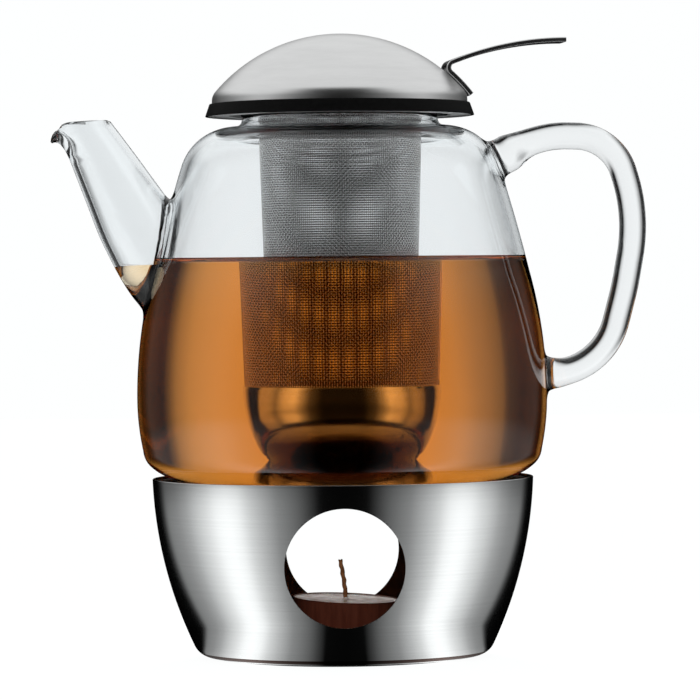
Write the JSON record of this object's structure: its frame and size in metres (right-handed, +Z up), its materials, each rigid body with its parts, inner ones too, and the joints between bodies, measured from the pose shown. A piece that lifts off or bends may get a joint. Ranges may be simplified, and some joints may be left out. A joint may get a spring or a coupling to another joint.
{
  "type": "glass teapot",
  "caption": "Glass teapot with woven steel infuser, domed steel lid with a lifting lever, glass spout and handle, on a brushed steel tea-light warmer.",
  "frame": {"origin": "centre of the warmer's underside, where it stands on the table", "axes": "+Z up through the pot's axis; the spout points along -X, the handle along +X, and the warmer's two air holes face -Y and +Y"},
  "size_m": [0.2166, 0.1492, 0.2271],
  "materials": {
    "pad_rubber": "matt black non-slip rubber",
    "warmer_steel": "finely brushed round the bowl",
    "rest_steel": "plain drawn steel",
    "foil": "bright rolled foil",
    "wax": "slightly translucent paraffin wax",
    "wick": "waxed cotton cord, charred tip",
    "tin": "stamped tin",
    "glass": "clear borosilicate",
    "gasket_rubber": "matt black silicone",
    "infuser_steel": "polished steel",
    "mesh_wire": "woven steel wire",
    "lid_steel": "satin steel",
    "plate_steel": "satin steel",
    "ring_rubber": "smooth black silicone",
    "lever_steel": "polished steel strap"
  },
  "bodies": {
    "warmer": {"base_pad": "pad_rubber", "warmer_shell": "warmer_steel", "pot_rest_ring": "rest_steel", "candle_holder": "rest_steel"},
    "tealight": {"tealight_cup": "foil", "tealight_wax": "wax", "tealight_wick": "wick", "wick_sustainer": "tin"},
    "pot": {"glass_body": "glass", "glass_spout": "glass", "glass_handle": "glass"},
    "infuser": {"neck_gasket": "gasket_rubber", "infuser_flange": "infuser_steel", "infuser_collar": "infuser_steel", "infuser_mesh": "mesh_wire", "mesh_seam": "infuser_steel", "infuser_bowl": "infuser_steel", "crimp_band": "infuser_steel"},
    "lid": {"lid_dome": "lid_steel", "lid_plate": "plate_steel", "lid_ring": "ring_rubber", "lid_plug": "plate_steel", "lid_lever": "lever_steel"}
  },
  "joints": [
    {"name": "tealight_lift", "type": "slide", "parent": "warmer", "child": "tealight", "axis": [0, 0, 1], "range_m": [0, 0.024]},
    {"name": "pot_lift", "type": "slide", "parent": "warmer", "child": "pot", "axis": [0, 0, 1], "range_m": [0, 0.08]},
    {"name": "infuser_lift", "type": "slide", "parent": "pot", "child": "infuser", "axis": [0, 0, 1], "range_m": [0, 0.14]},
    {"name": "lid_lift", "type": "slide", "parent": "infuser", "child": "lid", "axis": [0, 0, 1], "range_m": [0, 0.06]}
  ]
}
